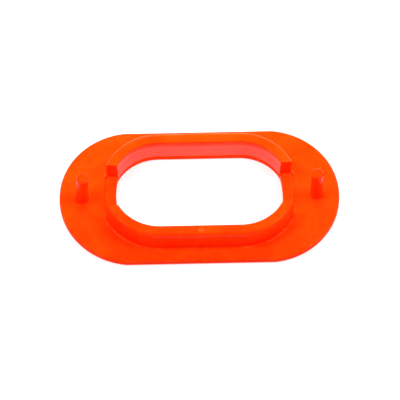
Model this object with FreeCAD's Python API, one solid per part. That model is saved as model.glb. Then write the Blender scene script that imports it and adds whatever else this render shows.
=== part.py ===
import FreeCAD, Part
import math
import os

# Half of a two-piece snap-together hand-hole ring for a carton box, moulded in
# one shot of plastic.  It lies on its show face (z = 0) with the side that
# goes into the carton facing up.  +X runs along the ring, +Z points from the
# show face towards the pegs, and the origin is the middle of the show face.
#
# The moulding is written as the features its mould is cut in: a flange plate,
# two collar arches, two low sills between them, and two pegs.  Each one is a
# closed solid that meets the flange plate, or its neighbour, face to face.

V = FreeCAD.Vector

# ---------------------------------------------------------------- flange plate
flange_length = 100.0
flange_width = 52.6
flange_thickness = 2.8
flange_corner_turn = 6.5      # degrees between a straight side and the end arc
flange_corner_round = 5.0     # blend between the two
flange_back_round = 0.4       # edge round on the side with the pegs
flange_front_round = 0.7      # edge round on the show face, where the hand rubs

# ------------------------------------------------------------------- hand hole
hole_length = 61.5            # at the show face, before the sills flatten the ends
hole_width = 32.8             # at the show face
hole_draft = 2.3              # degrees, the hole opens towards the collar's rim
hole_front_round = 0.8        # edge round on the show face
hole_end_radius = 36.0        # in plan, the shallow curve that the sills give each end

# ---------------------------------------------------------------------- collar
collar_wall = 4.0             # at the rim
collar_height = 9.1           # above the flange plate's back
collar_rim_round = 0.35       # inside edge of the rim
collar_lead_round = 1.1       # outside edge of the rim, which finds the way into the carton
collar_corner_round = 1.2     # upright outer corners beside the slots
collar_foot_round = 0.8       # concave, outside only

# ------------------------------------------------- slots through the collar's ends
slot_width = 16.2
sill_inset = 1.0              # from the hole's rounded end to the sill's inner face
sill_depth = 3.9              # along X
sill_height = 0.9             # above the flange plate's back
sill_round = 0.25

# ------------------------------------------------------------------------ pegs
peg_inset = 8.1               # from the flange's tip to the peg's centre
peg_radius = 2.2              # the cylinder that plugs into the other half
peg_height = 14.8             # above the flange plate's back
peg_grip_length = 8.6         # cylinder, down from the tip round
peg_root_radius = 2.5         # where the cone below the cylinder meets the foot
peg_foot_round = 1.1          # concave
peg_tip_round = 0.5

# ------------------------------------------------------------- worked-out places
back_z = flange_thickness
rim_z = back_z + collar_height
peg_x = flange_length / 2 - peg_inset
sill_x = hole_length / 2 - sill_inset
bow_x = sill_x - hole_end_radius        # centre of the shallow curve at the +X end
hole_end_x = (hole_length - hole_width) / 2
reach = flange_length + flange_width    # longer than any cut needs


def hole_half_width(z):
    """Half-width of the drafted hand hole at height z."""
    return hole_width / 2 + z * math.tan(math.radians(hole_draft))


def line(a, b):
    """Straight edge between two points."""
    return Part.LineSegment(a, b).toShape()


def arc(a, middle, b):
    """Circular edge from a to b through a middle point."""
    return Part.Arc(a, middle, b).toShape()


def corner_arc(centre, radius, start_degrees, end_degrees):
    """Arc in the XZ plane, given by its centre, radius and two angles."""
    def at(degrees):
        turn = math.radians(degrees)
        return centre + V(radius * math.cos(turn), 0, radius * math.sin(turn))
    return arc(at(start_degrees), at((start_degrees + end_degrees) / 2), at(end_degrees))


def joined(edges):
    """Closed wire through edges given in order, with straight runs between them."""
    wire = []
    for edge, following in zip(edges, edges[1:] + edges[:1]):
        wire.append(edge)
        end = edge.lastVertex(True).Point
        start = following.firstVertex(True).Point
        if end.distanceToPoint(start) > 1e-6:
            wire.append(line(end, start))
    return Part.Wire(wire)


def flange_outline():
    """Two straight sides, and a slightly flat arc at each end, with blended corners."""
    half_width = flange_width / 2
    end_radius = half_width / math.cos(math.radians(flange_corner_turn))
    end_centre = V(flange_length / 2 - end_radius, 0, 0)
    blend_y = half_width - flange_corner_round
    blend_x = end_centre.x + math.sqrt((end_radius - flange_corner_round) ** 2 - blend_y ** 2)
    blend_centre = V(blend_x, blend_y, 0)
    side_end = V(blend_x, half_width, 0)
    outward = (blend_centre - end_centre).normalize()
    end_start = end_centre + outward * end_radius
    halfway = (outward + V(0, 1, 0)).normalize()
    blend_middle = blend_centre + halfway * flange_corner_round

    def flip(point, x_sign, y_sign):
        return V(point.x * x_sign, point.y * y_sign, 0)

    edges = []
    for sign in (1, -1):
        edges.append(line(flip(side_end, -sign, sign), flip(side_end, sign, sign)))
        edges.append(arc(*[flip(p, sign, sign) for p in (side_end, blend_middle, end_start)]))
        tip = V(sign * flange_length / 2, 0, 0)
        edges.append(arc(flip(end_start, sign, sign), tip, flip(end_start, sign, -sign)))
        edges.append(arc(*[flip(p, sign, -sign) for p in (end_start, blend_middle, side_end)]))
    return Part.Wire(edges)


def follow_hole(section):
    """Carry a section round the hand hole's centre line.

    The section is a closed wire in the XZ plane whose x is the distance from
    the hole's centre line, which is also the distance from the axis of each
    rounded end.
    """
    face = Part.Face(section)
    solids = []
    for side in (1, -1):
        end_face = face.copy()
        end_face.rotate(V(0, 0, 0), V(0, 0, 1), -90 * side)
        end_face.translate(V(side * hole_end_x, 0, 0))
        solids.append(end_face.revolve(V(side * hole_end_x, 0, 0), V(0, 0, 1), 180))
        side_face = face.copy()
        side_face.rotate(V(0, 0, 0), V(0, 0, 1), 90 * side)
        side_face.translate(V(-hole_end_x, 0, 0))
        solids.append(side_face.extrude(V(2 * hole_end_x, 0, 0)))
    return solids[0].fuse(solids[1:]).removeSplitter()


def solid_of(shape):
    """The one valid solid that a feature must come out as."""
    if len(shape.Solids) != 1 or not shape.isValid():
        raise ValueError("a feature came out as %d solids" % len(shape.Solids))
    return shape.Solids[0]


def level_edges(shape, z):
    """Edges that lie flat at height z."""
    return [
        edge
        for edge in shape.Edges
        if abs(edge.BoundBox.ZMin - z) < 1e-6 and abs(edge.BoundBox.ZMax - z) < 1e-6
    ]


def box_between(low, high):
    """Rectangular block from its lowest corner to its highest."""
    size = high - low
    return Part.makeBox(size.x, size.y, size.z, low)


def opening_section(wall_x, draft):
    """Half of an opening through the flange: a wall with a round lip at z = 0.

    wall_x is the wall's distance from the middle at the show face, and draft is
    the angle at which it opens upwards.
    """
    tilt = math.radians(draft)
    lip_x = wall_x + hole_front_round * (math.tan(tilt) + 1 / math.cos(tilt))
    lip_centre = V(lip_x, 0, hole_front_round)
    top_z = back_z + hole_front_round
    top_x = wall_x + top_z * math.tan(tilt)
    return joined([
        corner_arc(lip_centre, hole_front_round, 270, 180 - draft),
        line(V(top_x, 0, top_z), V(0, 0, top_z)),
        line(V(0, 0, -flange_thickness), V(lip_x, 0, -flange_thickness)),
    ])


def bowed(section, half_turn):
    """Swing a section about the centre of the shallow curve at the +X end.

    The section's x is its distance from that centre, and it swings half_turn
    degrees to either side of the X axis.
    """
    face = Part.Face(section)
    face.rotate(V(0, 0, 0), V(0, 0, 1), -half_turn)
    swung = face.revolve(V(0, 0, 0), V(0, 0, 1), 2 * half_turn)
    swung.translate(V(bow_x, 0, 0))
    return swung


def hand_hole():
    """The space of the hand hole in the flange, with its ends flattened by the sills."""
    rounded = follow_hole(opening_section(hole_width / 2, hole_draft))
    half = bowed(opening_section(hole_end_radius, 0), 90)
    return rounded.common(half.fuse(half.mirror(V(0, 0, 0), V(1, 0, 0))))


def flange_plate():
    """Oval plate with rounded edges and the hand hole through it."""
    plate = Part.Face(flange_outline()).extrude(V(0, 0, flange_thickness))
    plate = plate.makeFillet(flange_back_round, level_edges(plate, back_z))
    plate = plate.makeFillet(flange_front_round, level_edges(plate, 0))
    return solid_of(plate.cut(hand_hole()).removeSplitter())


def collar_section():
    """Collar wall: drafted inside, upright outside, round rim and flared foot."""
    tilt = math.radians(hole_draft)
    rim_x = hole_half_width(rim_z)
    outer_x = rim_x + collar_wall
    round_z = rim_z - collar_rim_round
    inner_round_x = rim_x + collar_rim_round * (1 / math.cos(tilt) - math.tan(tilt))
    inner_round = V(inner_round_x, 0, round_z)
    outer_round = V(outer_x - collar_lead_round, 0, rim_z - collar_lead_round)
    foot_round = V(outer_x + collar_foot_round, 0, back_z + collar_foot_round)
    return joined([
        corner_arc(inner_round, collar_rim_round, 180 - hole_draft, 90),
        corner_arc(outer_round, collar_lead_round, 90, 0),
        corner_arc(foot_round, collar_foot_round, 180, 270),
        line(V(foot_round.x, 0, back_z), V(hole_half_width(back_z), 0, back_z)),
    ])


def slot_space():
    """The slot through both ends of the collar, over its whole height."""
    return box_between(V(-reach, -slot_width / 2, -reach), V(reach, slot_width / 2, reach))


def corner_spaces():
    """What is taken off the four upright outer corners of the arches, above the sills."""
    slot_y = slot_width / 2
    centre_y = slot_y + collar_corner_round
    outer_radius = hole_half_width(rim_z) + collar_wall
    run = math.sqrt((outer_radius - collar_corner_round) ** 2 - centre_y ** 2)
    outward = V(run, centre_y, 0).normalize()
    halfway = (outward + V(0, -1, 0)).normalize()
    centre = V(hole_end_x + run, centre_y, back_z + sill_height)
    start = centre + V(0, -1, 0) * collar_corner_round
    touch = centre + outward * collar_corner_round
    beyond = touch + outward * collar_wall
    outline = joined([
        arc(start, centre + halfway * collar_corner_round, touch),
        line(beyond, V(beyond.x, slot_y - collar_wall, beyond.z)),
        line(V(start.x, slot_y - collar_wall, start.z), start),
    ])
    block = Part.Face(outline).extrude(V(0, 0, 2 * collar_height))
    right = [block, block.mirror(V(0, 0, 0), V(0, 1, 0))]
    return right + [piece.mirror(V(0, 0, 0), V(1, 0, 0)) for piece in right]


def collar_arches():
    """The collar ring, parted by the slot that runs through both its ends."""
    ring = follow_hole(collar_section())
    arches = {}
    for solid in ring.cut([slot_space()] + corner_spaces()).Solids:
        side = "upper" if solid.CenterOfMass.y > 0 else "lower"
        arches[side] = solid_of(solid)
    return arches


def sill(side):
    """Low curved bar that closes the foot of a slot, side = +1 or -1 along X."""
    top_z = back_z + sill_height
    inner_x = hole_end_radius
    outer_x = hole_end_radius + sill_depth
    section = joined([
        corner_arc(V(inner_x + sill_round, 0, top_z - sill_round), sill_round, 180, 90),
        corner_arc(V(outer_x - sill_round, 0, top_z - sill_round), sill_round, 90, 0),
        line(V(outer_x, 0, back_z), V(inner_x, 0, back_z)),
    ])
    half_turn = 2 * math.degrees(math.asin(slot_width / 2 / hole_end_radius))
    block = bowed(section, half_turn).common(slot_space())
    if side < 0:
        block = block.mirror(V(0, 0, 0), V(1, 0, 0))
    return solid_of(block)


def peg(side):
    """Round peg on a flared foot, side = +1 or -1 along X."""
    tip_z = back_z + peg_height
    grip_top_z = tip_z - peg_tip_round
    grip_bottom_z = grip_top_z - peg_grip_length
    foot_round = V(peg_root_radius + peg_foot_round, 0, back_z + peg_foot_round)
    tip_round = V(peg_radius - peg_tip_round, 0, grip_top_z)
    outline = joined([
        corner_arc(foot_round, peg_foot_round, 270, 180),
        line(V(peg_radius, 0, grip_bottom_z), V(peg_radius, 0, grip_top_z)),
        corner_arc(tip_round, peg_tip_round, 0, 90),
        line(V(0, 0, tip_z), V(0, 0, back_z)),
    ])
    turned = Part.Face(outline).revolve(V(0, 0, 0), V(0, 0, 1), 360)
    turned.translate(V(side * peg_x, 0, 0))
    return solid_of(turned)


def build():
    """Every feature by name."""
    nodes = {"flange_plate": flange_plate()}
    for name, arch in sorted(collar_arches().items()):
        nodes[name + "_collar_arch"] = arch
    for name, side in (("left", -1), ("right", 1)):
        nodes[name + "_sill"] = sill(side)
        nodes[name + "_peg"] = peg(side)
    return nodes


os.makedirs("parts", exist_ok=True)
for node_name, node_shape in build().items():
    node_shape.exportStep("parts/%s.step" % node_name)
    print("%-18s %9.1f mm3" % (node_name, node_shape.Volume))
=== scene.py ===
# %% [markdown]
# # A hand-hole ring in moulded orange plastic
#
# A carton that is carried by hand needs a lining round its hand hole, or the board
# cuts the fingers and tears.  This is one half of such a lining: an oval flange, a
# collar that passes through the board, and two pegs that plug into the other half.
# It is a single shot of glossy fluorescent plastic.
#
# The sizes come first.  The CAD model is loaded as a fixed frame, and every piece
# made below reads its place from that frame, so no shape can drift away from it.

# %% Load the frame
import math

import bmesh
import bpy
from mathutils import Matrix, Vector


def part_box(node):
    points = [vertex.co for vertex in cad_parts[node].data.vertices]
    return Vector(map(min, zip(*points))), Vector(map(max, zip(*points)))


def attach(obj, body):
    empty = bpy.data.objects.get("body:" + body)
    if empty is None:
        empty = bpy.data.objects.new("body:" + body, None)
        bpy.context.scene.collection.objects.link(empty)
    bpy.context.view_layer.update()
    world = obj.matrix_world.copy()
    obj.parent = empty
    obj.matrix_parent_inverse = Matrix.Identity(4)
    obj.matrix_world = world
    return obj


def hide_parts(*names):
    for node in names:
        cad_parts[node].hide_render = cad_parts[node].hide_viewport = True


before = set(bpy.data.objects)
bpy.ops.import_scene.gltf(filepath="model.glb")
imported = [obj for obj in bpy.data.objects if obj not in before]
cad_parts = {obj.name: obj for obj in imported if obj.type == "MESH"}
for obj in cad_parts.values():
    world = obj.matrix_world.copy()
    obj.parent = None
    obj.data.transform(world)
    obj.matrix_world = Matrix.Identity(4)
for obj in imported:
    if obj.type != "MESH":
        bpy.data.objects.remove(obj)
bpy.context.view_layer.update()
MM = 0.001

# %% Sizes that the frame's boxes give
flange_low, flange_high = [Vector(corner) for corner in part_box("flange_plate")]
arch_low, arch_high = [Vector(corner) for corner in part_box("upper_collar_arch")]
sill_low, sill_high = [Vector(corner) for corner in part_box("right_sill")]
peg_low, peg_high = [Vector(corner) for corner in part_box("right_peg")]

back_z = flange_high.z
rim_z = arch_high.z
slot_half = arch_low.y
peg_x = (peg_low.x + peg_high.x) / 2
print("flange back at %.2f mm, rim at %.2f mm" % (back_z / MM, rim_z / MM))

# %% Sizes that a box can't give
# They are the designer's own, and the check below holds them against the frame.
HOLE_LENGTH = 61.5 * MM
HOLE_WIDTH = 32.8 * MM
HOLE_DRAFT = math.radians(2.3)
LIP_ROUND = 0.8 * MM
COLLAR_WALL = 4.0 * MM
RIM_ROUND = 0.35 * MM
LEAD_ROUND = 1.1 * MM
CORNER_CUT = 1.2 * MM
COLLAR_FOOT = 0.8 * MM
HOLE_END_RADIUS = 36.0 * MM
SILL_DEPTH = 3.9 * MM
SILL_ROUND = 0.25 * MM
CORNER_TURN = math.radians(6.5)
CORNER_ROUND = 5.0 * MM
BACK_ROUND = 0.4 * MM
FRONT_ROUND = 0.7 * MM
PEG_RADIUS = 2.2 * MM
PEG_ROOT_RADIUS = 2.5 * MM
PEG_GRIP = 8.6 * MM
PEG_TIP_ROUND = 0.5 * MM

hole_end_x = (HOLE_LENGTH - HOLE_WIDTH) / 2
sill_x = sill_high.x - SILL_DEPTH
bow_x = sill_x - HOLE_END_RADIUS
ledge_z = sill_high.z
peg_foot = (peg_high.x - peg_low.x) / 2 - PEG_ROOT_RADIUS


def hole_half_width(z):
    """Half-width of the hand hole, which opens a little towards the rim."""
    return HOLE_WIDTH / 2 + z * math.tan(HOLE_DRAFT)


collar_outer = hole_half_width(rim_z) + COLLAR_WALL
print("collar's outer face, mm off the frame:", round((arch_high.y - COLLAR_FOOT - collar_outer) / MM, 3))

# %% [markdown]
# ## Arithmetic on sockets
#
# A node tree is arithmetic drawn as boxes, and a long sum of boxes is hard to read.
# One small class wraps a socket, so that `1 - mask * 0.3` adds the Math nodes by
# itself.  It serves the shaders and the geometry trees alike, because both use the
# same Math node.

# %% A socket that behaves like a number


class Wire:
    """One value on its way through a node tree."""

    def __init__(self, tree, socket=None):
        self.tree = tree
        self.socket = socket

    def make(self, kind, settings=None, values=None, output=0):
        """Add a node: its settings first, then the values or wires of its sockets."""
        node = self.tree.nodes.new(kind)
        for name, setting in (settings or {}).items():
            if name == "items":
                for _ in range(setting - len(node.index_switch_items)):
                    node.index_switch_items.new()
            else:
                setattr(node, name, setting)
        for place, value in (values or {}).items():
            if isinstance(value, Wire):
                self.tree.links.new(value.socket, node.inputs[place])
            else:
                node.inputs[place].default_value = value
        return Wire(self.tree, node.outputs[output] if node.outputs else None)

    def also(self, output):
        """Another output of the node that this value comes from."""
        return Wire(self.tree, self.socket.node.outputs[output])

    def maths(self, operation, *values):
        return self.make("ShaderNodeMath", {"operation": operation}, dict(enumerate(values)))

    def __add__(self, other):
        return self.maths("ADD", self, other)

    __radd__ = __add__

    def __sub__(self, other):
        return self.maths("SUBTRACT", self, other)

    def __rsub__(self, other):
        return self.maths("SUBTRACT", other, self)

    def __mul__(self, other):
        return self.maths("MULTIPLY", self, other)

    __rmul__ = __mul__

    def __truediv__(self, other):
        return self.maths("DIVIDE", self, other)

    def stretch(self, low, high, curve="LINEAR"):
        """0 below low, 1 above high, and even between."""
        values = {"Value": self, "From Min": low, "From Max": high}
        return self.make("ShaderNodeMapRange", {"interpolation_type": curve}, values)

    def ramp(self, low, high):
        """0 below low, 1 above high, and smooth between."""
        return self.stretch(low, high, "SMOOTHSTEP")


# %% [markdown]
# ## The plastic
#
# Fluorescent orange plastic is nearly a pure colour: it gives back almost all red
# light, a little green and hardly any blue.  That is why hollows and shaded walls
# turn a deep red instead of grey: light that bounces twice loses its green.  So the
# base colour does most of the work, and the rest is small.
#
# Real mouldings are never one even colour.  The melt swirls as it fills the mould,
# the skin is slightly rough in patches, and handling leaves fine scratches.  Noise
# at three scales stands for those: slow for the swirl, middling for the patches of
# gloss, and fine for the skin.
#
# Edges are rubbed first.  The Bevel node gives the direction that the skin would
# face if each edge were eased, and where that differs from the true one there is an
# edge.  The wear there is broken up by the middling noise, so it isn't an outline.
# A pale round spot on the near rim stands for the mark of a pin that pushes the part
# out of its mould.
#
# Two choices aren't those of a plain plastic.  A faint red glow stands for a
# fluorescent pigment, which sends out more red light than falls on it.  The mirror
# shine is set lower than a bare plastic's, and tinted, so that it warms the orange
# instead of turning it pink.  For a neutral shine, use a level of 0.5 and no tint.

# %% Orange plastic
DEEP_ORANGE = (1.0, 0.036, 0.0006, 1.0)
LIGHT_ORANGE = (1.0, 0.056, 0.0015, 1.0)
MILKY_ORANGE = (1.0, 0.12, 0.02, 1.0)

SWIRL_SCALE = 55.0
MOTTLE_SCALE = 420.0
SKIN_SCALE = 2600.0
SCRATCH_TURN = 0.5
SCRATCH_SCALE = (260.0, 9000.0, 260.0)
SCRATCH_WEAR = 0.12

WEAR_REACH = 0.5 * MM
WEAR_START = 0.004
WEAR_FULL = 0.06
EDGE_WEAR = 0.35
PIN_MARK_RADIUS = 0.7 * MM
PIN_MARK_FADE = 0.8 * MM
PIN_MARK_PALENESS = 0.4

GLOSSY_ROUGHNESS = 0.11
MOTTLE_ROUGHNESS = 0.08
SCRATCH_ROUGHNESS = 0.12
EDGE_ROUGHNESS = 0.15
BUMP_STRENGTH = 0.10
BUMP_HEIGHT = 0.05 * MM
PLASTIC_IOR = 1.49
SHINE_LEVEL = 0.07
SHINE_TINT = (1.0, 0.75, 0.2, 1.0)
GLOW_COLOR = (1.0, 0.004, 0.0, 1.0)
GLOW_STRENGTH = 0.3


def plastic():
    """Glossy fluorescent orange, with swirl, patchy gloss, fine skin and rubbed marks."""
    material = bpy.data.materials.new("orange_plastic")
    material.use_nodes = True
    tree = material.node_tree
    tree.nodes.clear()
    start = Wire(tree)
    place = start.make("ShaderNodeTexCoord", output="Object")

    swirl = start.make("ShaderNodeTexNoise", values={
        "Vector": place, "Scale": SWIRL_SCALE, "Detail": 3.0, "Distortion": 1.2,
    })
    mottle = start.make("ShaderNodeTexNoise", values={
        "Vector": place, "Scale": MOTTLE_SCALE, "Detail": 4.0, "Roughness": 0.6,
    })
    skin = start.make("ShaderNodeTexNoise", values={
        "Vector": place, "Scale": SKIN_SCALE, "Detail": 2.0,
    })
    stretched = start.make("ShaderNodeMapping", values={
        "Vector": place, "Rotation": (0.0, 0.0, SCRATCH_TURN), "Scale": SCRATCH_SCALE,
    })
    scratch_noise = start.make("ShaderNodeTexNoise", values={
        "Vector": stretched, "Scale": 1.0, "Detail": 2.0,
    })
    scratches = scratch_noise.ramp(0.66, 0.74)

    tone = (swirl * 0.7 + mottle * 0.3).ramp(0.35, 0.68)
    color = start.make("ShaderNodeMix", {"data_type": "RGBA"}, {
        "Factor": tone, "A": DEEP_ORANGE, "B": LIGHT_ORANGE,
    }, output=2)
    rubbed = start.make("ShaderNodeMix", {"data_type": "RGBA"}, {
        "Factor": scratches * SCRATCH_WEAR, "A": color, "B": MILKY_ORANGE,
    }, output=2)

    eased = start.make("ShaderNodeBevel", values={"Radius": WEAR_REACH})
    facing = start.make("ShaderNodeNewGeometry", output="Normal")
    agreement = start.make("ShaderNodeVectorMath", {"operation": "DOT_PRODUCT"}, {
        0: eased, 1: facing,
    }, output="Value")
    edge = (1.0 - agreement).ramp(WEAR_START, WEAR_FULL) * mottle.ramp(0.42, 0.62)
    worn = start.make("ShaderNodeMix", {"data_type": "RGBA"}, {
        "Factor": edge * EDGE_WEAR, "A": rubbed, "B": MILKY_ORANGE,
    }, output=2)

    rim_middle = (0.0, -hole_half_width(rim_z) - COLLAR_WALL / 2, rim_z)
    apart = start.make("ShaderNodeVectorMath", {"operation": "DISTANCE"}, {
        0: place, 1: rim_middle,
    }, output="Value")
    pin_mark = 1.0 - apart.ramp(PIN_MARK_RADIUS, PIN_MARK_RADIUS + PIN_MARK_FADE)
    marked = start.make("ShaderNodeMix", {"data_type": "RGBA"}, {
        "Factor": pin_mark * PIN_MARK_PALENESS, "A": worn, "B": MILKY_ORANGE,
    }, output=2)

    roughness = GLOSSY_ROUGHNESS + mottle * MOTTLE_ROUGHNESS
    roughness = roughness + scratches * SCRATCH_ROUGHNESS + edge * EDGE_ROUGHNESS
    height = mottle * 0.35 + skin * 0.2 - scratches * 0.3
    bump = start.make("ShaderNodeBump", values={
        "Strength": BUMP_STRENGTH, "Distance": BUMP_HEIGHT, "Height": height,
    })

    shader = start.make("ShaderNodeBsdfPrincipled", values={
        "Base Color": marked,
        "Roughness": roughness,
        "Normal": bump,
        "IOR": PLASTIC_IOR,
        "Specular IOR Level": SHINE_LEVEL,
        "Specular Tint": SHINE_TINT,
        "Emission Color": GLOW_COLOR,
        "Emission Strength": GLOW_STRENGTH,
    })
    start.make("ShaderNodeOutputMaterial", values={"Surface": shader})
    return material


orange = plastic()
print("plastic nodes:", len(orange.node_tree.nodes))

# %% [markdown]
# ## A bar that is bent to shape
#
# The collar is one wall section carried round the hand hole, and a peg is one half
# outline carried round its own axis.  Both follow a rule, so both are grown by
# Geometry Nodes in the same way: draw the section, draw it out into a straight bar,
# then bend the bar with a formula.  The sizes are inputs of the tree, so another
# wall or another peg is a matter of other numbers.
#
# The section is drawn as a polygon whose corners are then rounded, each with its
# own radius.  The bar runs along Z, which keeps the section's X and Y as they are.

# %% Trees and their inputs
# A fillet that uses up a whole edge fails, so the largest one stops just short of it.
FILLET_SHARE = 0.995
FLOAT = "NodeSocketFloat"
INTEGER = "NodeSocketInt"


def new_tree(name, sizes, counts):
    """An empty geometry tree with named inputs for its sizes, counts and material."""
    tree = bpy.data.node_groups.new(name, "GeometryNodeTree")
    for title in sizes:
        tree.interface.new_socket(name=title, in_out="INPUT", socket_type=FLOAT)
    for title in counts:
        tree.interface.new_socket(name=title, in_out="INPUT", socket_type=INTEGER)
    tree.interface.new_socket(name="Material", in_out="INPUT", socket_type="NodeSocketMaterial")
    tree.interface.new_socket(name="Mesh", in_out="OUTPUT", socket_type="NodeSocketGeometry")
    return Wire(tree).make("NodeGroupInput")


def finish_tree(mesh, given):
    """Smooth, realize and paint a tree's mesh, and send it out."""
    smooth = mesh.make("GeometryNodeSetShadeSmooth", values={"Geometry": mesh})
    real = mesh.make("GeometryNodeRealizeInstances", values={"Geometry": smooth})
    painted = mesh.make("GeometryNodeSetMaterial", values={
        "Geometry": real, "Material": given.also("Material"),
    })
    mesh.make("NodeGroupOutput", values={"Mesh": painted})


def grow(name, tree, inputs):
    """Run a tree once and keep what it makes as a plain mesh object."""
    seed = bpy.data.objects.new(name + "_seed", bpy.data.meshes.new(name + "_seed"))
    bpy.context.collection.objects.link(seed)
    modifier = seed.modifiers.new("grow", "NODES")
    modifier.node_group = tree
    for item in tree.interface.items_tree:
        if item.in_out == "INPUT":
            modifier[item.identifier] = inputs[item.name]
    view = bpy.context.evaluated_depsgraph_get()
    mesh = bpy.data.meshes.new_from_object(seed.evaluated_get(view))
    mesh.name = name
    bpy.data.objects.remove(seed)
    piece = bpy.data.objects.new(name, mesh)
    bpy.context.collection.objects.link(piece)
    print("%-22s %6d faces" % (name, len(mesh.polygons)))
    return piece


# %% Sections and bars


def section_curve(given, corners, closed):
    """A polygon in X and Y with rounded corners, as a curve.

    Each corner is its x, its y and its rounding radius.
    """
    index = given.make("GeometryNodeInputIndex")
    count = len(corners)

    def per_corner(data_type, values):
        sockets = {"Index": index}
        for place, value in enumerate(values):
            sockets[place + 1] = value
        return given.make("GeometryNodeIndexSwitch", {"data_type": data_type, "items": count}, sockets)

    places = [given.make("ShaderNodeCombineXYZ", values={"X": x, "Y": y}) for x, y, _ in corners]
    chain = given.make("GeometryNodeMeshLine", values={"Count": count})
    laid = given.make("GeometryNodeSetPosition", values={
        "Geometry": chain, "Position": per_corner("VECTOR", places),
    })
    curve = given.make("GeometryNodeMeshToCurve", values={"Mesh": laid})
    if closed:
        curve = given.make("GeometryNodeSetSplineCyclic", values={"Geometry": curve, "Cyclic": True})
    return given.make("GeometryNodeFilletCurve", {"mode": "POLY"}, {
        "Curve": curve,
        "Count": given.also("Round Steps"),
        "Radius": per_corner("FLOAT", [radius for _, _, radius in corners]),
    })


def draw_out(given, section, capped):
    """Draw a section out into a straight bar, one unit long along Z."""
    path = given.make("GeometryNodeCurvePrimitiveLine", values={"End": (0.0, 0.0, 1.0)})
    steps = given.make("GeometryNodeResampleCurve", values={
        "Curve": path, "Count": given.also("Bar Steps") + 1,
    })
    return given.make("GeometryNodeCurveToMesh", values={
        "Curve": steps, "Profile Curve": section, "Fill Caps": capped,
    })


def read_place(given):
    """The x, y and z of a point, as three wires."""
    point = given.make("GeometryNodeInputPosition")
    x = given.make("ShaderNodeSeparateXYZ", values={"Vector": point})
    return x, x.also("Y"), x.also("Z")


def move_points(given, mesh, x, y, z):
    """Put every point of a mesh at a worked-out place."""
    place = given.make("ShaderNodeCombineXYZ", values={"X": x, "Y": y, "Z": z})
    return given.make("GeometryNodeSetPosition", values={"Geometry": mesh, "Position": place})


# %% [markdown]
# ## The collar arches
#
# The collar is cut through at both ends, so it is two arches.  Each arch is the
# wall section drawn out as a bar and bent: straight along the side of the hole, and
# round at each end.  The cut ends are flat faces in line with the slot.  A plain
# bend would leave them pointing at the middle of the curve, so the formula spreads
# every fibre of the wall from the top of the curve to the angle at which that fibre
# meets the slot.  The arch's ends come out truly flat, with no cutting.
#
# The last few steps of the bar do one thing more.  They trim the wall's outside
# along a quarter circle, which rounds the upright corner that a thumb would find.

# %% The arch tree
STRAIGHT_STEPS = 10
BEND_STEPS = 44
TRIM_STEPS = 6
ARCH_HALF_STEPS = STRAIGHT_STEPS + BEND_STEPS + TRIM_STEPS
STRAIGHT_SHARE = STRAIGHT_STEPS / ARCH_HALF_STEPS
BEND_SHARE = (STRAIGHT_STEPS + BEND_STEPS) / ARCH_HALF_STEPS
LEDGE_STEP = 0.02 * MM


def arch_tree():
    """Wall section, drawn out and bent round half of the hand hole."""
    given = new_tree("collar_arch", [
        "Foot Inside", "Rim Inside", "Outside", "Foot Height", "Ledge Height", "Rim Height",
        "Rim Round", "Lead Round", "Foot Round", "Corner Cut", "Hole End", "Slot Half", "Side",
    ], ["Round Steps", "Bar Steps"])
    outside = given.also("Outside")
    foot_height = given.also("Foot Height")
    rim_height = given.also("Rim Height")
    ledge_height = given.also("Ledge Height")
    foot_round = given.also("Foot Round")
    cut = given.also("Corner Cut")
    section = section_curve(given, [
        (given.also("Foot Inside"), foot_height, 0.0),
        (given.also("Rim Inside"), rim_height, given.also("Rim Round")),
        (outside, rim_height, given.also("Lead Round")),
        (outside, ledge_height + LEDGE_STEP, 0.0),
        (outside, ledge_height, 0.0),
        (outside, foot_height, foot_round * FILLET_SHARE),
        (outside + foot_round, foot_height, 0.0),
    ], closed=True)
    bar = draw_out(given, section, capped=True)

    reach, height, along = read_place(given)
    side = along * 2 - 1
    leaning = side.maths("ABSOLUTE", side)
    way = side.maths("SIGN", side)
    run = leaning.maths("MINIMUM", leaning / STRAIGHT_SHARE, 1.0)
    bend = leaning.stretch(STRAIGHT_SHARE, BEND_SHARE)
    trim = leaning.stretch(BEND_SHARE, 1.0) * (math.pi / 2)
    kept = outside - cut * (1 - trim.maths("COSINE", trim))
    above = height.maths("GREATER_THAN", height, ledge_height + LEDGE_STEP / 2)
    flare = outside + foot_round * trim.maths("COSINE", trim)
    trimmed = reach.maths("MINIMUM", reach, kept * above + flare * (1 - above))
    ending = given.also("Slot Half") + cut * (1 - trim.maths("SINE", trim))
    end_angle = trimmed.maths("ARCSINE", ending / trimmed)
    angle = math.pi / 2 - bend * (math.pi / 2 - end_angle)
    end = given.also("Hole End")
    x = way * (end * run + trimmed * angle.maths("COSINE", angle))
    y = trimmed * angle.maths("SINE", angle)
    turn = given.also("Side")
    bent = move_points(given, bar, x * turn, y * turn, height)
    finish_tree(bent, given)
    return given.tree


collar_arch = arch_tree()
print("arch tree nodes:", len(collar_arch.nodes))

# %% Grow both arches
ARCH_ROUND_STEPS = 6


def arch(name, side):
    """One arch of the collar, side = +1 for the far one and -1 for the near one."""
    return grow(name, collar_arch, {
        "Foot Inside": hole_half_width(back_z),
        "Rim Inside": hole_half_width(rim_z),
        "Outside": collar_outer,
        "Foot Height": back_z,
        "Ledge Height": ledge_z,
        "Rim Height": rim_z,
        "Rim Round": RIM_ROUND,
        "Lead Round": LEAD_ROUND,
        "Foot Round": COLLAR_FOOT,
        "Corner Cut": CORNER_CUT,
        "Hole End": hole_end_x,
        "Slot Half": slot_half,
        "Side": side,
        "Round Steps": ARCH_ROUND_STEPS,
        "Bar Steps": 2 * ARCH_HALF_STEPS,
        "Material": orange,
    })


arches = [arch("collar_arch_far", 1.0), arch("collar_arch_near", -1.0)]

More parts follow.
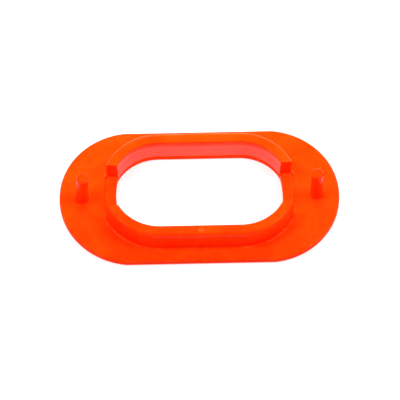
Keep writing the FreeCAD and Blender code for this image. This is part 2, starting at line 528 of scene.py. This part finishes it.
# %% [markdown]
# A mould is milled, so no edge of the part is knife sharp.  The four upright edges
# at the ends of each arch, and the short edges over them, get a narrow round from
# the Bevel modifier, which is told which edges by their weight.  The edges that
# meet the flange are left alone, because the plastic runs on through them.

# %% Round the cut ends
END_ROUND = 0.22 * MM
END_ROUND_STEPS = 3
NEAR = 0.005 * MM


def weigh_edges(mesh, wanted):
    """Mark edges for the Bevel modifier: wanted(one end, other end)."""
    weights = mesh.attributes.new("bevel_weight_edge", "FLOAT", "EDGE")
    count = 0
    for edge in mesh.edges:
        a, b = [mesh.vertices[i].co for i in edge.vertices]
        if wanted(a, b):
            weights.data[edge.index].value = 1.0
            count += 1
    return count


def weighted_bevel(piece, width):
    """A narrow round on the weighted edges, kept live as a modifier."""
    bevel = piece.modifiers.new("edge_round", "BEVEL")
    bevel.limit_method = "WEIGHT"
    bevel.width = width
    bevel.segments = END_ROUND_STEPS


def on_arch_end(a, b):
    """Edges round an arch's flat end, but for its trimmed side and its foot."""
    flat = all(abs(abs(p.y) - slot_half) < NEAR for p in (a, b))
    high = max(a.z, b.z) > ledge_z + COLLAR_FOOT
    reach = [math.hypot(abs(p.x) - hole_end_x, p.y) for p in (a, b)]
    trimmed = all(abs(r - (collar_outer - CORNER_CUT)) < NEAR for r in reach)
    return flat and high and not trimmed


for piece in arches:
    print(piece.name, "end edges rounded:", weigh_edges(piece.data, on_arch_end))
    weighted_bevel(piece, END_ROUND)

# %% [markdown]
# ## The pegs
#
# A peg is turned: half its outline goes once round the axis.  It has a flared foot
# that spreads the load into the flange, a slight cone so that it leaves the mould,
# a true cylinder where it grips its socket, and a rounded tip to find the way in.
# One tree makes one peg and sets it at each point it is given, so both are alike.

# %% The peg tree
WELD = 0.0001 * MM


def peg_tree():
    """Half an outline, turned round its axis, and set at two places."""
    given = new_tree("pegs", [
        "Foot Height", "Tip Height", "Root Radius", "Foot Round",
        "Grip Radius", "Grip Height", "Tip Round", "Centre",
    ], ["Round Steps", "Bar Steps"])
    foot = given.also("Foot Height")
    tip = given.also("Tip Height")
    root = given.also("Root Radius")
    flare = given.also("Foot Round")
    grip = given.also("Grip Radius")
    section = section_curve(given, [
        (root + flare, foot, 0.0),
        (root, foot, flare * FILLET_SHARE),
        (grip, given.also("Grip Height"), 0.0),
        (grip, tip, given.also("Tip Round")),
        (0.0, tip, 0.0),
    ], closed=False)
    bar = draw_out(given, section, capped=False)
    radius, height, along = read_place(given)
    angle = along * (2 * math.pi)
    turned = move_points(
        given, bar, radius * angle.maths("COSINE", angle), radius * angle.maths("SINE", angle), height,
    )
    whole = given.make("GeometryNodeMergeByDistance", values={"Geometry": turned, "Distance": WELD})
    first = given.make("ShaderNodeCombineXYZ", values={"X": given.also("Centre") * -1})
    gap = given.make("ShaderNodeCombineXYZ", values={"X": given.also("Centre") * 2})
    spots = given.make("GeometryNodeMeshLine", values={
        "Count": 2, "Start Location": first, "Offset": gap,
    })
    pair = given.make("GeometryNodeInstanceOnPoints", values={"Points": spots, "Instance": whole})
    finish_tree(pair, given)
    return given.tree


PEG_STEPS = 72
PEG_ROUND_STEPS = 10
pegs = grow("pegs", peg_tree(), {
    "Foot Height": back_z,
    "Tip Height": peg_high.z,
    "Root Radius": PEG_ROOT_RADIUS,
    "Foot Round": peg_foot,
    "Grip Radius": PEG_RADIUS,
    "Grip Height": peg_high.z - PEG_TIP_ROUND - PEG_GRIP,
    "Tip Round": PEG_TIP_ROUND,
    "Centre": peg_x,
    "Round Steps": PEG_ROUND_STEPS,
    "Bar Steps": PEG_STEPS,
    "Material": orange,
})

# %% [markdown]
# ## The flange plate
#
# The plate is an oval with an oval hole.  Neither outline is a plain shape: the
# outside has blended corners, and the hole is flatter where the sills stand.  So
# it is built in mesh code, as a stack of closed rings.  Both outlines are written
# for one quarter only, with the same number of points, and mirrored.  A ring is then
# a blend between the two, at some height, and faces join each ring to the next.
#
# Thick plastic shrinks as it cools.  Round each peg the skin is drawn in by a few
# hundredths of a millimetre, which is enough to bend a highlight.  That sink is put
# into the mesh, not into the shader.

# %% Outlines of the plate
SIDE_STEPS = 20
BLEND_STEPS = 4
END_STEPS = 44
BOW_STEPS = 14
ROUND_END_STEPS = BLEND_STEPS + END_STEPS - BOW_STEPS


def arc_points(centre_x, centre_y, radius, start, stop, steps):
    """Points along an arc, without its first one."""
    points = []
    for step in range(1, steps + 1):
        angle = start + (stop - start) * step / steps
        points.append((centre_x + radius * math.cos(angle), centre_y + radius * math.sin(angle)))
    return points


def run_points(start, stop, steps):
    """Points along a straight run, without its first one."""
    return [
        (start[0] + (stop[0] - start[0]) * step / steps, start[1] + (stop[1] - start[1]) * step / steps)
        for step in range(1, steps + 1)
    ]


def outer_quarter(inset):
    """A quarter of the flange's outline, from the middle of the far side to the tip."""
    half_width = flange_high.y
    end_radius = half_width / math.cos(CORNER_TURN)
    end_x = flange_high.x - end_radius
    blend_y = half_width - CORNER_ROUND
    blend_x = end_x + math.sqrt((end_radius - CORNER_ROUND) ** 2 - blend_y ** 2)
    turn = math.atan2(blend_y, blend_x - end_x)
    points = [(0.0, half_width - inset)]
    points += run_points(points[0], (blend_x, half_width - inset), SIDE_STEPS)
    points += arc_points(blend_x, blend_y, CORNER_ROUND - inset, math.pi / 2, turn, BLEND_STEPS)
    points += arc_points(end_x, 0.0, end_radius - inset, turn, 0.0, END_STEPS)
    return points


def hole_quarter(z, outset):
    """A quarter of the hand hole's outline at height z, from the far side to the sill."""
    half_width = hole_half_width(z) + outset
    bow = HOLE_END_RADIUS + outset
    corner_x = bow ** 2 - half_width ** 2 + hole_end_x ** 2 - bow_x ** 2
    corner_x = corner_x / 2 / (hole_end_x - bow_x)
    corner_y = math.sqrt(half_width ** 2 - (corner_x - hole_end_x) ** 2)
    corner = math.atan2(corner_y, corner_x - hole_end_x)
    bow_corner = math.atan2(corner_y, corner_x - bow_x)
    points = [(0.0, half_width)]
    points += run_points(points[0], (hole_end_x, half_width), SIDE_STEPS)
    points += arc_points(hole_end_x, 0.0, half_width, math.pi / 2, corner, ROUND_END_STEPS)
    points += arc_points(bow_x, 0.0, bow, bow_corner, 0.0, BOW_STEPS)
    return points


def whole_ring(quarter):
    """Four mirrored quarters as one closed ring, clockwise from the far side."""
    right = quarter + [(x, -y) for x, y in reversed(quarter[:-1])]
    left = [(-x, y) for x, y in reversed(right[1:-1])]
    return right + left


# %% Rings from the hole, over the back, round the edge and along the show face
SINK_DEPTH = 0.05 * MM
SINK_INNER = 4.4 * MM
SINK_OUTER = 9.5 * MM


def sink(x, y):
    """How far the flange's back is drawn in near a peg."""
    distance = math.hypot(abs(x) - peg_x, y)
    if not SINK_INNER < distance < SINK_OUTER:
        return 0.0
    share = (distance - SINK_INNER) / (SINK_OUTER - SINK_INNER)
    return SINK_DEPTH * math.sin(math.pi * share) ** 2


def blended_ring(inner, outer, share, z, sunk=False):
    """A ring between two outlines, at one height, sunk near the pegs if wanted."""
    ring = []
    for (x0, y0), (x1, y1) in zip(inner, outer):
        x = x0 + (x1 - x0) * share
        y = y0 + (y1 - y0) * share
        ring.append((x, y, z - (sink(x, y) if sunk else 0.0)))
    return ring


BACK_RINGS = 40
FACE_RINGS = 14
EDGE_STEPS = 6
PARTING_STEP = 0.04 * MM


def flange_rings():
    """Every ring of the plate, in order round its section."""
    rings = []
    hole = whole_ring(hole_quarter(back_z, 0.0))
    edge = whole_ring(outer_quarter(PARTING_STEP + BACK_ROUND))
    for step in range(BACK_RINGS + 1):
        rings.append(blended_ring(hole, edge, step / BACK_RINGS, back_z, sunk=True))
    for step in range(1, EDGE_STEPS + 1):
        angle = math.pi / 2 * step / EDGE_STEPS
        inset = PARTING_STEP + BACK_ROUND * (1 - math.sin(angle))
        z = back_z - BACK_ROUND * (1 - math.cos(angle))
        rings.append([(x, y, z) for x, y in whole_ring(outer_quarter(inset))])
    parting_z = (back_z + FRONT_ROUND - BACK_ROUND) / 2
    rings.append([(x, y, parting_z + PARTING_STEP) for x, y in whole_ring(outer_quarter(PARTING_STEP))])
    rings.append([(x, y, parting_z) for x, y in whole_ring(outer_quarter(0.0))])
    for step in range(EDGE_STEPS + 1):
        angle = math.pi / 2 * step / EDGE_STEPS
        inset = FRONT_ROUND * (1 - math.cos(angle))
        z = FRONT_ROUND * (1 - math.sin(angle))
        rings.append([(x, y, z) for x, y in whole_ring(outer_quarter(inset))])
    lip = whole_ring(hole_quarter(0.0, LIP_ROUND))
    edge = whole_ring(outer_quarter(FRONT_ROUND))
    for step in range(1, FACE_RINGS + 1):
        rings.append(blended_ring(edge, lip, step / FACE_RINGS, 0.0))
    for step in range(1, EDGE_STEPS + 1):
        angle = math.pi / 2 * step / EDGE_STEPS
        outset = LIP_ROUND * (1 - math.sin(angle))
        z = LIP_ROUND * (1 - math.cos(angle))
        rings.append([(x, y, z) for x, y in whole_ring(hole_quarter(z, outset))])
    return rings


def join_rings(name, rings, material):
    """A closed skin through a loop of rings."""
    work = bmesh.new()
    made = [[work.verts.new(point) for point in ring] for ring in rings]
    count = len(rings[0])
    for ring, following in zip(made, made[1:] + made[:1]):
        for place in range(count):
            after = (place + 1) % count
            work.faces.new((ring[place], ring[after], following[after], following[place]))
    bmesh.ops.recalc_face_normals(work, faces=work.faces)
    mesh = bpy.data.meshes.new(name)
    work.to_mesh(mesh)
    work.free()
    mesh.materials.append(material)
    mesh.shade_smooth()
    piece = bpy.data.objects.new(name, mesh)
    bpy.context.collection.objects.link(piece)
    print("%-22s %6d faces" % (name, len(mesh.polygons)))
    return piece


flange = join_rings("flange", flange_rings(), orange)

# %% [markdown]
# ## The sills
#
# Between the arches, the foot of each slot is closed by a low strip that bows out a
# little.  Its section has two rounded top edges, and it is drawn out and bent by the
# same rule as the arches: every fibre ends where it meets the arch, so the strip's
# ends lie flat against it.

# %% The sill tree


def sill_tree():
    """A low section, drawn out and bent about the centre of the hole's shallow end."""
    given = new_tree("sill", [
        "Inside", "Depth", "Foot Height", "Top Height", "Edge Round", "Centre", "Slot Half", "Side",
    ], ["Round Steps", "Bar Steps"])
    inside = given.also("Inside")
    outside = inside + given.also("Depth")
    foot = given.also("Foot Height")
    top = given.also("Top Height")
    edge_round = given.also("Edge Round")
    section = section_curve(given, [
        (inside, foot, 0.0),
        (inside, top, edge_round),
        (outside, top, edge_round),
        (outside, foot, 0.0),
    ], closed=True)
    bar = draw_out(given, section, capped=True)
    reach, height, along = read_place(given)
    angle = (1 - along * 2) * reach.maths("ARCSINE", given.also("Slot Half") / reach)
    turn = given.also("Side")
    x = (given.also("Centre") + reach * angle.maths("COSINE", angle)) * turn
    y = reach * angle.maths("SINE", angle) * turn
    finish_tree(move_points(given, bar, x, y, height), given)
    return given.tree


bowed_sill = sill_tree()
SILL_ROUND_STEPS = 5
SILL_STEPS = 24


def sill(name, side):
    """One strip, side = +1 or -1 along X."""
    return grow(name, bowed_sill, {
        "Inside": HOLE_END_RADIUS,
        "Depth": SILL_DEPTH,
        "Foot Height": back_z,
        "Top Height": ledge_z,
        "Edge Round": SILL_ROUND,
        "Centre": bow_x,
        "Slot Half": slot_half,
        "Side": side,
        "Round Steps": SILL_ROUND_STEPS,
        "Bar Steps": SILL_STEPS,
        "Material": orange,
    })


sills = [sill("sill_left", -1.0), sill("sill_right", 1.0)]

# %% [markdown]
# ## Put each piece on the body and hide the CAD solid it stands for
#
# Nothing on this part moves, so every piece rides on the one body.  The CAD solid that
# each new piece stands for isn't shown.

# %% Ride and replace
stands_for = {
    flange: ["flange_plate"],
    arches[0]: ["upper_collar_arch"],
    arches[1]: ["lower_collar_arch"],
    pegs: ["left_peg", "right_peg"],
    sills[0]: ["left_sill"],
    sills[1]: ["right_sill"],
}
for piece, nodes in stands_for.items():
    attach(piece, "root")
    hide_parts(*nodes)
print("pieces:", sorted(piece.name for piece in stands_for))

# %% [markdown]
# ## The table, the light and the camera
#
# The part lies on a plain white table.  The table gives off a little light of its
# own, as a light table does, which keeps the ground white and fills the hand hole's
# walls from below.  Two soft panels stand high at the sides.  They stay clear of the
# direction in which the flat faces would mirror them, because a mirrored panel
# would wash the orange out.  Low panels and strips at the back brighten the far
# side.  The two strips light the part but are hidden from reflections, which no real
# lamp can be, so that the far rim isn't drawn as a white line.
#
# The camera looks down steeply through a long lens, so that the outlines stay
# nearly parallel.

# %% Table
TABLE_HALF = 1.2
TABLE_GREY = (0.4, 0.4, 0.4, 1.0)
TABLE_ROUGHNESS = 0.9
TABLE_GLOW = 0.7
WHITE = (1.0, 1.0, 1.0, 1.0)


def table_top():
    """White, slightly glowing ground, staged as no part of the object."""
    material = bpy.data.materials.new("white_table")
    material.use_nodes = True
    shader = material.node_tree.nodes["Principled BSDF"]
    shader.inputs["Base Color"].default_value = TABLE_GREY
    shader.inputs["Roughness"].default_value = TABLE_ROUGHNESS
    shader.inputs["Emission Color"].default_value = WHITE
    shader.inputs["Emission Strength"].default_value = TABLE_GLOW
    mesh = bpy.data.meshes.new("table")
    reach = TABLE_HALF
    corners = [(-reach, -reach, 0.0), (reach, -reach, 0.0), (reach, reach, 0.0), (-reach, reach, 0.0)]
    mesh.from_pydata(corners, [], [(0, 1, 2, 3)])
    mesh.materials.append(material)
    table = bpy.data.objects.new("table", mesh)
    bpy.context.collection.objects.link(table)
    return table


table = table_top()

# %% Lights


def panel(name, place, size, watts, mirrored=True):
    """A soft rectangular light that faces the part, seen in reflections or not."""
    light = bpy.data.lights.new(name, "AREA")
    light.shape = "RECTANGLE"
    light.size, light.size_y = size
    light.energy = watts
    lamp = bpy.data.objects.new(name, light)
    lamp.location = place
    aim = Vector((0.0, 0.0, back_z)) - Vector(place)
    lamp.rotation_euler = aim.to_track_quat("-Z", "Y").to_euler()
    lamp.visible_glossy = mirrored
    bpy.context.collection.objects.link(lamp)


panel("left_panel", (-0.20, 0.0, 0.42), (0.12, 0.10), 1.28)
panel("right_panel", (0.20, 0.0, 0.42), (0.12, 0.10), 1.04)
panel("right_low_panel", (0.30, 0.0, 0.30), (0.12, 0.05), 0.17)
panel("back_left_panel", (-0.27, 0.27, 0.10), (0.12, 0.06), 0.12)
panel("back_right_panel", (0.27, 0.27, 0.10), (0.12, 0.06), 0.38)
panel("back_strip", (0.0, 0.13, 0.10), (0.16, 0.03), 0.14, mirrored=False)
panel("low_back_strip", (0.0, 0.10, 0.05), (0.16, 0.03), 0.18, mirrored=False)

ROOM_STRENGTH = 0.02
world = bpy.data.worlds.new("room")
bpy.context.scene.world = world
world.use_nodes = True
background = world.node_tree.nodes["Background"]
background.inputs["Color"].default_value = WHITE
background.inputs["Strength"].default_value = ROOM_STRENGTH
bpy.context.scene.view_settings.view_transform = "Standard"
print("lights:", len(bpy.data.lights))

# %% Camera
AZIMUTH = math.radians(-2.75)
ELEVATION = math.radians(60.9)
ROLL = math.radians(1.25)
LENS = 900.0
SENSOR = 36.0
FIELD_WIDTH = 143.0 * MM
OFF_CENTRE = (0.21 * MM, -0.07 * MM)


def place_camera():
    """A long lens that looks down on the part, slightly from the left."""
    away = Vector((
        math.sin(AZIMUTH) * math.cos(ELEVATION),
        -math.cos(AZIMUTH) * math.cos(ELEVATION),
        math.sin(ELEVATION),
    ))
    level = Vector((math.cos(AZIMUTH), math.sin(AZIMUTH), 0.0))
    upward = away.cross(level)
    right = math.cos(ROLL) * level + math.sin(ROLL) * upward
    up = away.cross(right)
    distance = FIELD_WIDTH * LENS / SENSOR
    target = right * OFF_CENTRE[0] + up * OFF_CENTRE[1]
    data = bpy.data.cameras.new("camera")
    data.lens = LENS
    data.sensor_width = SENSOR
    data.clip_start = 0.05
    data.clip_end = 50.0
    camera = bpy.data.objects.new("camera", data)
    turn = Matrix((right, up, away)).transposed().to_4x4()
    camera.matrix_world = Matrix.Translation(target + away * distance) @ turn
    bpy.context.collection.objects.link(camera)
    bpy.context.scene.camera = camera


place_camera()
